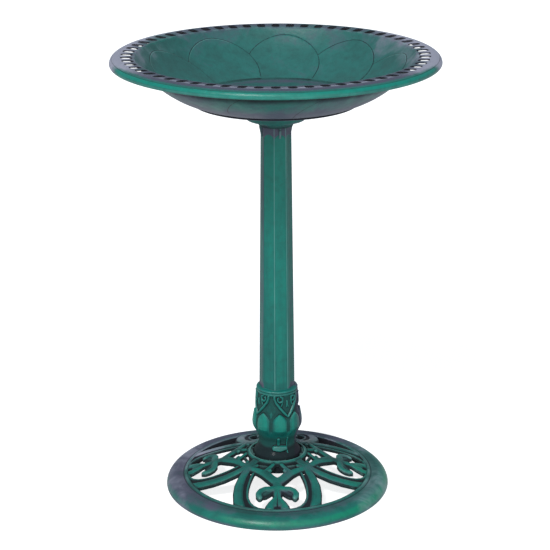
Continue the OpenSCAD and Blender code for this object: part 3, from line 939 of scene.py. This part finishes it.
# Strokes of half a scroll: (distance round, height, half width), then the height of its top
SCROLL_STROKES = [
    ([(5.4, 166, 2.6), (5.6, 158, 2.6), (8.4, 151, 2.7), (15.5, 142, 2.7), (22.5, 133.5, 2.3),
      (28, 127.5, 1.6)], 2.9),
    ([(15.6 + 4.5 * math.cos(a), 156.6 + 4.5 * math.sin(a), 1.9)
      for a in np.radians(np.arange(-215, 75, 24))], 2.3),
    ([(20.4, 160, 1.8), (20.2, 152, 1.6), (17.4, 145.5, 1.3)], 1.8),
    ([(26.5, 144, 1.2), (28.3, 149.5, 2.2), (28.3, 153, 1.7)], 2.0),
]
DIAMOND_RIB = [(0, 126, 1.2), (0, 131, 2.0), (0, 134, 1.0)]


def leaf_relief(turn, z):
    """Eight pointed leaves with domed faces and a faint midrib."""
    across = np.abs(folded(turn, 360 / LEAVES, LEAF_FRONT))
    rise = np.clip((LEAF_TIP - z) / LEAF_LENGTH, 0, 1)
    half = LEAF_HALF * np.sin(rise * math.pi / 2) ** 0.85
    inside = np.clip(1 - (across / np.maximum(half, 0.3)) ** 2.6, 0, 1)
    body = LEAF_RISE * inside**0.6 * ease(z, 94, 106) * (z < LEAF_TIP)
    return body + 0.35 * near(across, 0, 1.6, 0) * inside * ease(z, 100, 118)


def scroll_relief(turn, z):
    """Stems from the beaded top down to a V, with a curl beside each, four times round."""
    x = np.abs(folded(turn, 90, SCROLL_FRONT))
    heights = []
    for side in (x, 90 - x):
        arc = side * math.pi / 180 * COLLAR_R
        for line, lift in SCROLL_STROKES:
            heights.append(stroke(line, arc, z, lift, lift)[1])
        scales = 0.45 * np.sin(arc * 2.1 + z * 1.6) * np.sin(arc * 2.1 - z * 1.6)
        diamond = ease(11 - arc * 1.1 - np.abs(z - 138) * 0.75, 0, 1.6)
        heights.append(diamond * (0.55 + scales) - (1 - diamond) * 5)
        heights.append(stroke(DIAMOND_RIB, arc, z, 1.2, 1.2)[1])
    return np.clip(blended(heights, 3.0), 0, 3.2)


def latch_relief(turn, z):
    """The moulded latch at the foot: a lens under a tab, with a thin rib beside it."""
    arc = folded(turn, 180, LEAF_FRONT) * math.pi / 180 * LATCH_R
    lens = stroke([(-8, 73.4, 4.2), (0, 73.2, 5.6), (9, 73.6, 4)], arc, z, 3.4, 4.6)[1]
    tab = stroke([(-1.6, 80, 2.8), (-1.8, 90, 2.6)], arc, z, 2.4, 2.8)[1]
    rib = stroke([(12.6, 66, 1.2), (12.4, 92, 1.2)], arc, z, 1.6, 1.8)[1]
    return np.clip(blended([lens, tab, rib], 3.0), 0, 4)


def collar_skin(turn):
    """The collar's outer skin: heights, radii, relief, leaves and latch, row by row."""
    z = np.unique(np.concatenate([np.arange(COLLAR_LOW, COLLAR_TOP, COLLAR_STEP),
                                  COLLAR_PROFILE[-6:, 0], [COLLAR_LOW + 0.6, COLLAR_TOP]]))
    base = np.interp(z, COLLAR_PROFILE[:, 0], COLLAR_PROFILE[:, 1])
    for _ in range(2):
        base[1:-1] = np.convolve(base, [0.25, 0.5, 0.25], "same")[1:-1]
    from_front, grid_z = np.meshgrid(turn + 90, z)
    leaves = leaf_relief(from_front, grid_z + LEAF_LOWERED)
    latch = latch_relief(from_front, grid_z + LATCH_LOWERED)
    relief = np.maximum(leaves, scroll_relief(from_front, grid_z)) + latch
    outer = base[:, None] + relief * ease(grid_z, 60, 64) * (1 - ease(grid_z, 161.5, 163.5))

    # The top closes in on the octagonal column
    corner = corner_radius(COLLAR_TOP)
    column = corner * OCTAGON_FLAT
    column = column / np.cos(np.radians(folded(turn - SHAFT_TURN, FACE, FACE_MIDDLE)))
    column = np.minimum(column, corner - 0.6) + 0.45
    outer += (column - outer) * ease(grid_z, 169.5, COLLAR_TOP)
    return grid_z, outer, relief, leaves, latch


def build_collar():
    """The sleeve between the column and the foot."""
    turn = np.arange(COLLAR_COLUMNS) * 360 / COLLAR_COLUMNS
    grid_z, outer, relief, leaves, latch = collar_skin(turn)
    shelf = SHAFT_LOW - 6
    inner = rounded([
        (28.2, COLLAR_TOP - 2.4), (29.2, COLLAR_TOP - 4), (29.4, SHAFT_LOW), (28, shelf), (5, shelf),
        (5, shelf - 6), (27, shelf - 6), (27, COLLAR_LOW)], 0.5, closed=False, step=4)
    size = len(inner), COLLAR_COLUMNS
    radius = np.concatenate([outer, np.broadcast_to(inner[:, :1], size)])
    height = np.concatenate([grid_z, np.broadcast_to(inner[:, 1:], size)])
    faces = grid_faces(len(radius), COLLAR_COLUMNS, True).tolist()
    low = COLLAR_LOW + LUG_CLEAR
    lugs = lock_blocks(36.5, HUB_BORE - LUG_CLEAR, (0, LUG_SPAN, low, low + LUG_H))
    shape = joined([(turned(radius, height, turn[None]).reshape(-1, 3), faces), *lugs])

    # Painted shade round the relief, at both ends and on the inner faces; the latch stays free of it
    free = 1 - ease(latch, 0.3, 1.0)
    ground = (1 - ease(relief, 0.4, 1.3)) * ease(grid_z, 96, 104) * (1 - ease(grid_z, 160, 162.5))
    foot = (1 - ease(grid_z, 60, 76)) * 0.8 + (1 - ease(grid_z, 84, 103)) * 0.52
    painted_shade = np.maximum(0.55 * ground, np.maximum(foot, ease(grid_z, 171, COLLAR_TOP) * 0.5) * free)
    beads = sum(near(grid_z, middle, wide, 0.3) for middle, wide in BEADS)

    def on_skin(values, elsewhere):
        """Values on the collar's outer skin, and one value for its other vertices."""
        full = np.full(len(shape[0]), float(elsewhere))
        full[: values.size] = values.ravel()
        return full

    leaf = on_skin(ease(leaves * ease(grid_z, 98, 106), 1.2, 2.6), 0)
    radius, x, _, z = parts_of(shape[0])
    # Painted shade on the collar's right side, laid on as extra wash
    right = 0.6 * ease(x, 25, 33)
    wash_and_shade = 0.26 * (1 - ease(z, 84, 98)) * on_skin(free, 1) + 0.1 * ease(z, 128, 140)
    masks = {"wash_and_shade": wash_and_shade + 0.3 * (radius < 29.8) - 0.5 * leaf * (1 - right) + right,
             "shade": on_skin(painted_shade, 0.8),
             # painted highlights on the beads, and pale wear with a painted highlight on the latch's
             # lens
             "wear_and_highlight": on_skin(0.3 * beads + 0.5 * ease(latch, 3.4, 4.4), 0)}
    paint = antique_resin("collar_paint", wash_level=-0.06, rub=srgb(30, 121, 112),
                          cavity=(-0.05, -0.45))
    make_piece("leaf_collar", shape, "pedestal", ["collar"], paint, masks)


# ---------------------------------------------------------------- foot

MOTIFS = 4
RING_IN = 148
RING_H = 20
LACE_T = 7
LACE_ROWS, LACE_COLUMNS = 69, 480
EDGE_DROP = 3.6
PIT_DROP = 5.4

# Strokes of half a motif: (across, outwards, half width), then its top's lift and fall
FOOT_STROKES = [
    ([(34, 34, 7), (44, 43, 7.5), (49, 54, 7.2), (55.5, 69, 7.6), (60.5, 86, 8.2), (62, 103, 8.6),
      (61.4, 120, 8.6), (58.5, 134, 8.6), (55, 147, 9)], 0.6, EDGE_DROP),
    ([(38.5, 64, 2.6), (41.5, 72, 2.6), (44.6, 82, 2.5), (47, 94, 2.4), (48, 106, 2.4),
      (47.4, 117, 2.4), (44.2, 127.5, 2.6), (38.4, 136, 2.8), (30.5, 141.6, 2.8), (21, 144.4, 2.8),
      (12, 145.4, 2.8)], -1.2, 2.0),
    ([(45, 68, 4), (50, 84, 4), (52, 104, 4), (51, 120, 4), (47, 134, 5), (38, 146, 6),
      (22, 150, 6)], -2.6, 1.0),
    ([(45, 50, 5.5), (38, 55.5, 5.5), (30.5, 60.5, 6), (21, 67.5, 7.4), (11.5, 77, 8.8),
      (4, 84.5, 9.4), (0, 86, 9.4)], 0.4, EDGE_DROP),
    ([(5, 47, 3.2), (9, 53, 3.4), (15, 59.5, 3.6), (20, 64, 4)], 0.2, 2.6),
    ([(12, 63.5, 3.0), (13.5, 64.5, 3.0)], 1.0, 2.2),
    ([(0, 86, 9.6), (0, 97, 9.2), (0, 107, 8.2), (0, 117, 7.4), (0, 126, 7.6), (0, 135, 8)],
     0.2, EDGE_DROP),
    ([(4, 124, 5), (8.4, 132, 6.6), (11.5, 140, 8), (12.5, 148, 8.6)], 0.3, EDGE_DROP),
    ([(2, 101.5, 5.8), (11, 102.6, 5.4), (19.5, 102.4, 5.4), (25.6, 105.2, 5.4), (29, 110, 5.2),
      (29.4, 115, 4.8), (27.6, 119.4, 3.8)], 0.8, 2.4),
    ([(8, 105.6, 5), (15.5, 108.8, 7.2), (20.6, 112, 7.4)], -1.5, 1.6),
    ([(33, 48, 3.5), (40, 50, 4)], -0.6, 2.0),
    ([(14, 53.5, 1.5), (22, 50.6, 1.7), (30, 47, 1.5)], -2.2, 1.2),
]


def lace_top(radius):
    """Height of the openwork's own slope at a radius."""
    start = HUB_TOP - 0.6
    return start - (start - RING_H) * (radius - HUB_R) / (RING_IN - HUB_R)


def lace_field(radius, angle):
    """(distance outside the openwork, height of its top above its slope)."""
    local = np.radians(folded(angle, 360 / MOTIFS, 0))
    out, across = radius * np.cos(local), np.abs(radius * np.sin(local))
    fields = [stroke(points, x, y, drop, lift) for points, lift, drop in FOOT_STROKES
              for x, y in ((across, out), (out, across))]
    hub = np.where(radius < HUB_R + 4, -0.2 - 0.5 * np.clip(radius - HUB_R - 1, 0, 4), -FAR)
    ring = np.where(radius > RING_IN - 3.6, -0.4 - 1.2 * np.clip(RING_IN - 1 - radius, 0, 3), -FAR)
    fields += [(radius - HUB_R - 2.6, hub), (RING_IN - 2.6 - radius, ring)]
    top = blended([height for _, height in fields], 2.2)

    # A pit at each motif's hub end, and a notch down its middle
    pit_gap = np.hypot(across / 10.5, (out - 65.5) / 12.5) - 1 + 0.25 * across / 10.5
    pit = ease(-pit_gap, -0.08, 0.35)
    notch = ease(out, 106, 116) * 1.1 + ease(out, 129, 137) * 1.4
    top = top - notch * near(across, 0, 1.2 + 0.12 * np.clip(out - 126, 0, 16), 0)
    top = np.clip(top, -EDGE_DROP - 3, 2) * (1 - pit) - PIT_DROP * pit
    return np.min([gap for gap, _ in fields], axis=0), top


def hub_outline():
    """From the openwork's upper skin, over the hub's lip, through its cup and back under."""
    floor = HUB_TOP - 9.6
    return rounded([
        *shifted((HUB_R, HUB_TOP), (0.6, -0.7), (-0.6, 0), (-2, 0)), (HUB_BORE, HUB_TOP - 1.2),
        (HUB_BORE, floor), (27, floor), (27, floor - 4), (HUB_BORE, floor - 4),
        (HUB_BORE, floor - 12), (HUB_R + 0.5, floor - 12), (HUB_R + 0.8, HUB_TOP - 8)],
        0.9, closed=False, step=8, cuts=2)


def ring_outline():
    """From the openwork's upper skin, over the foot ring and back under it."""
    bead = rounded([
        *shifted((RING_IN, RING_H), (-1.4, -0.3), (-0.2, 0.4), (2.6, 0.5), (4.2, -1.2), (5.4, -1.8)),
        (FOOT_R - 17, RING_H - 2.0)], 1.2, closed=False, step=2.4, cuts=3)
    crown = bezier([*shifted((FOOT_R, RING_H), (-16, -2.1), (-7.5, -3.4), (-0.6, -10)),
                    (FOOT_R, 2.2)], 13)
    edge = rounded(shifted((FOOT_R, 0), (0, 1.6), (-0.3, 0), (-2.8, 0), (-3.1, 1.8)), 0.6,
                   closed=False, cuts=2)
    hollow = bezier(shifted((FOOT_R, 0), (-3.2, 2.4), (-4.2, 9), (-10, 12.6), (-18, 14.6)), 4)
    inner = rounded([
        (FOOT_R - 19, 14.8),
        *shifted((RING_IN, 0), (2.4, 15), (1, 14), (1, 0), (-2, 0), (-2, 12.6))], 0.5,
        closed=False, step=15, cuts=2)
    return np.concatenate([bead, crown, edge, hollow, inner])


def lace_plan(lace_r, angle, gap):
    """The openwork from above: its points, its faces, its rims and the grid corners' points.

    Points are (radius, angle). Windows follow the zero line of the gap, and a rim is a pair
    of points on that line.
    """
    spots, corner_index, edge_index = [], {}, {}

    def corner(i, j):
        """The point at a grid corner, made when it is first needed."""
        j %= LACE_COLUMNS
        if (i, j) not in corner_index:
            corner_index[i, j] = len(spots)
            spots.append((lace_r[i], angle[j]))
        return corner_index[i, j]

    def crossing(i0, j0, i1, j1):
        """The point where a grid edge crosses a window's outline."""
        key = (i0, j0 % LACE_COLUMNS, i1, j1 % LACE_COLUMNS)
        if key[2:] < key[:2]:
            return crossing(i1, j1, i0, j0)
        if key not in edge_index:
            g0, g1 = gap[key[:2]], gap[key[2:]]
            t = min(max(g0 / (g0 - g1), 0.14), 0.86)
            a0 = angle[key[1]]
            edge_index[key] = len(spots)
            spots.append((lace_r[i0] + (lace_r[i1] - lace_r[i0]) * t,
                          a0 + folded(angle[key[3]], 360, a0) * t))
        return edge_index[key]

    plan, rim = [], []
    for i in range(LACE_ROWS - 1):
        for j in range(LACE_COLUMNS):
            cell = [(i, j), (i, j + 1), (i + 1, j + 1), (i + 1, j)]
            inside = [gap[a, b % LACE_COLUMNS] < 0 for a, b in cell]
            if not any(inside):
                continue
            polygon, cuts = [], []
            for k in range(4):
                here, there = cell[k], cell[(k + 1) % 4]
                if inside[k]:
                    polygon.append(corner(*here))
                if inside[k] != inside[(k + 1) % 4]:
                    polygon.append(crossing(*here, *there))
                    cuts.append(polygon[-1])
            plan.append(polygon)
            # Each cut that leaves the solid is joined to the next one
            first = 0 if inside[0] else 1
            for k in range(first, first + len(cuts), 2):
                rim.append((cuts[k % len(cuts)], cuts[(k + 1) % len(cuts)]))
    return np.array(spots), plan, rim, corner_index


def foot_shape():
    """Hub, openwork and ring as one closed skin."""
    lace_r = np.linspace(HUB_R + 1.0, RING_IN - 2.2, LACE_ROWS)
    angle = np.arange(LACE_COLUMNS) * 360 / LACE_COLUMNS
    gap = lace_field(*np.meshgrid(lace_r, angle, indexing="ij"))[0]
    spots, plan, rim, corner_index = lace_plan(lace_r, angle, gap)
    slope, heights = lace_top(spots[:, 0]), lace_field(spots[:, 0], spots[:, 1])[1]
    top_z = slope + np.clip(heights, -EDGE_DROP - 1.4, 2)
    low_z = np.minimum(slope - LACE_T, top_z - 1.2)

    # Upper skin, lower skin and a row between them, joined round the windows
    count = len(spots)
    points = [turned(spots[:, 0], z, spots[:, 1]) for z in (top_z, low_z, top_z * 0.3 + low_z * 0.7)]
    faces = plan + [[count + i for i in face[::-1]] for face in plan]
    faces += [[a, b, 2 * count + b, 2 * count + a] for a, b in rim]
    faces += [[2 * count + a, 2 * count + b, count + b, count + a] for a, b in rim]
    total = 3 * count

    # The hub and the ring, each joined to the edge rows of the upper and the lower skin
    for outline, row in ((hub_outline(), 0), (ring_outline(), LACE_ROWS - 1)):
        points.append(turned(outline[:, :1], outline[:, 1:], angle[None]).reshape(-1, 3))
        faces += (grid_faces(len(outline), LACE_COLUMNS, False) + total).tolist()
        for skin, start in ((0, total), (count, total + (len(outline) - 1) * LACE_COLUMNS)):
            for j in range(LACE_COLUMNS):
                n = (j + 1) % LACE_COLUMNS
                faces.append([skin + corner_index[row, j], skin + corner_index[row, n],
                              start + n, start + j])
        total += len(outline) * LACE_COLUMNS
    points = np.concatenate(points)
    used = np.unique(np.concatenate([np.array(f) for f in faces]))
    new_index = np.full(len(points), -1)
    new_index[used] = np.arange(len(used))
    return points[used], [[int(new_index[i]) for i in f] for f in faces]


def foot_masks(points):
    """Where the foot's wash, painted shade, painted highlights and painted sheen lie."""
    radius, x, y, z = parts_of(points)
    below = lace_top(radius) + 0.6 - z
    lace, ring = radius < RING_IN, radius > RING_IN

    left, reach = ease(-x, 50, 150), 168 + 8 * ease(-x, 50, 150)
    band = (0.16 + 0.3 * left) * ease(radius, RING_IN + 3, RING_IN + 6)
    band = band * (1 - ease(radius, reach - 4, reach + 9))
    back = 0.22 * ease(y, -40, 120)
    bare = 0.45 * ease(radius, 172, 177) * ease(z, 4, 8) * (1 - left)
    bare += 0.15 * (1 - ease(below, 0.2, 1.6)) * ease(radius, 70, 100) * (radius < RING_IN - 4)
    wash_and_shade = 0.1 * ease(below, 0.9, 2.8) * lace + band + 0.3 * (1 - ease(z, 2, 6)) * ring + back
    wash_and_shade = wash_and_shade - 0.36 * ease(x, 90, 170) - bare * (1 - 2 * back)

    # Painted shade down the openwork's sides, in the grooves by the hub and the ring's bead, and in
    # the hub's cup
    sides = ease(below, 1.0, 3.4) * (radius > HUB_R) * (radius < RING_IN + 0.5)
    by_hub = 0.6 * near(radius, HUB_R + 3.2, 2.0, 0.6)
    cup = (radius < HUB_BORE + 0.6) * ease(below, 0.8, 2.4)
    by_bead = 0.6 * near(radius, RING_IN + 5.2, 1.6, 0.4) * (z > RING_H - 3)
    shade = np.max([sides, by_hub, cup, by_bead], axis=0)

    # Painted highlights on the hub's lip and the ring's bead, and painted sheen on the far openwork
    # and the ring's sides
    lip = near(radius, HUB_R - 1.2, 1.8, 0.6) * (1 - ease(below, 0.9, 2.0))
    bead = near(radius, RING_IN + 1.6, 2.0, 0.8) * (z > RING_H - 1)
    painted_sheen = 0.34 * ease(y, -30, 50) * (radius > HUB_R) * lace * (1 - ease(below, 1, 3))
    painted_sheen += 0.24 * ease(np.abs(x), 90, 150) * ring
    return {"wash_and_shade": wash_and_shade, "shade": shade, "wear_and_highlight": 0.55 * lip + 0.22 * bead, "painted_sheen": painted_sheen}


def build_foot():
    """The openwork foot, with the hub's ledges and stops."""
    floor = COLLAR_LOW - 0.05
    ledge = COLLAR_LOW + LUG_CLEAR + LUG_H + 0.3
    blocks = lock_blocks(HUB_LEDGE_IN, HUB_BORE + 1, (0, LEDGE_SPAN, ledge, ledge + 2),
                         (-STOP_SHIFT, STOP_SPAN, floor - 2, ledge + 1))
    shape = joined([foot_shape(), *blocks])
    paint = antique_resin("foot_paint", wash_level=0.18, wash_gain=2.8, rub_level=0.4,
                          cavity=(-0.12, -0.75), clean_colour=PAINT["fresh"],
                          base=(srgb(30, 80, 76), srgb(34, 104, 96)))
    make_piece("openwork_foot", shape, "foot", ["base"], paint, foot_masks(shape[0]), 10)


# ---------------------------------------------------------------- stage

FLOOR_SIZE = 12
CAMERA_PLACE = (0, -2.6612, 1.2706)
CAMERA_PITCH, CAMERA_ROLL = 71.044, -0.004
LENS, SENSOR, LENS_SHIFT = 116.72, 36, -0.0028


def paint_cad_nodes():
    """Finishes for the CAD nodes that show as they are."""
    steel, rubber = plated_steel(), black_rubber()
    plug = antique_resin("plug_resin", wash_level=0.3)
    finishes = {"seat_pad": rubber, "shaft_plug": plug}
    for name in ("socket_screws", "tie_rod", "top_washer", "top_nut", "bottom_washer", "bottom_nut"):
        finishes[name] = steel
    for name, material in finishes.items():
        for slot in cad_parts[name].material_slots:
            slot.material = material


def add_floor():
    """A wide pale floor."""
    mesh = bpy.data.meshes.new("studio_floor")
    size = FLOOR_SIZE
    mesh.from_pydata([(-size, -size, 0), (size, -size, 0), (size, size, 0), (-size, size, 0)], [],
                     [(0, 1, 2, 3)])
    floor = placed("studio_floor", mesh)
    s = Shader(bpy.data.materials.new("studio_paper"))
    pale, paler = (0.58, 0.58, 0.58, 1), (0.62, 0.62, 0.62, 1)
    mesh.materials.append(s.feed("Principled BSDF", {
        "Base Color": s.mix(s.noise(3, 3).span(-0.3, 0.3), pale, paler),
        "Roughness": 0.9,
        "Emission Color": (1, 1, 1, 1),
        "Emission Strength": s.seen().span(0, 1, 0.2, 0.8),
    }))
    floor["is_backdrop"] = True


def add_sun(name, azimuth, elevation, softness, strength):
    """A soft light from a compass direction (0 is the front, 90 the right), all in degrees."""
    data = bpy.data.lights.new(name, "SUN")
    data.energy = strength
    data.angle = math.radians(softness)
    lamp = placed(name, data)
    a, e = math.radians(azimuth), math.radians(elevation)
    towards = Vector((math.sin(a) * math.cos(e), -math.cos(a) * math.cos(e), math.sin(e)))
    lamp.rotation_euler = towards.to_track_quat("Z", "Y").to_euler()


def add_lights():
    """A pale room, a key light from the upper left front and a soft fill from the right."""
    s = Shader(bpy.data.worlds.new("pale_room"))
    seen = s.seen()
    bpy.context.scene.world = s.feed("Background", {
        "Color": s.mix(seen, (0.72, 0.88, 1, 1), (1, 1, 1, 1)),
        "Strength": seen.span(0, 1, 0.36, 1.05),
    })
    add_sun("key", azimuth=-24, elevation=48, softness=11, strength=1.95)
    add_sun("fill", azimuth=20, elevation=24, softness=60, strength=0.65)
    bpy.context.scene.view_settings.view_transform = "Standard"
    bpy.context.scene.view_settings.look = "None"


def add_camera():
    """A long lens, from a little above the bowl's rim and looking down."""
    data = bpy.data.cameras.new("camera")
    data.sensor_width = SENSOR
    data.lens = LENS
    data.shift_x = LENS_SHIFT
    camera = placed("camera", data)
    pitch = Matrix.Rotation(math.radians(CAMERA_PITCH), 4, "X")
    roll = Matrix.Rotation(CAMERA_ROLL, 4, "Z")
    camera.matrix_world = Matrix.Translation(CAMERA_PLACE) @ pitch @ roll
    bpy.context.scene.camera = camera


build_bowl()
build_socket()
build_cap()
build_column()
build_collar()
build_foot()
paint_cad_nodes()
add_floor()
add_lights()
add_camera()

boxes = {"cad": cad_bounds, "visual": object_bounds()}
{key: [list(map(float, corner)) for corner in box] for key, box in boxes.items()}
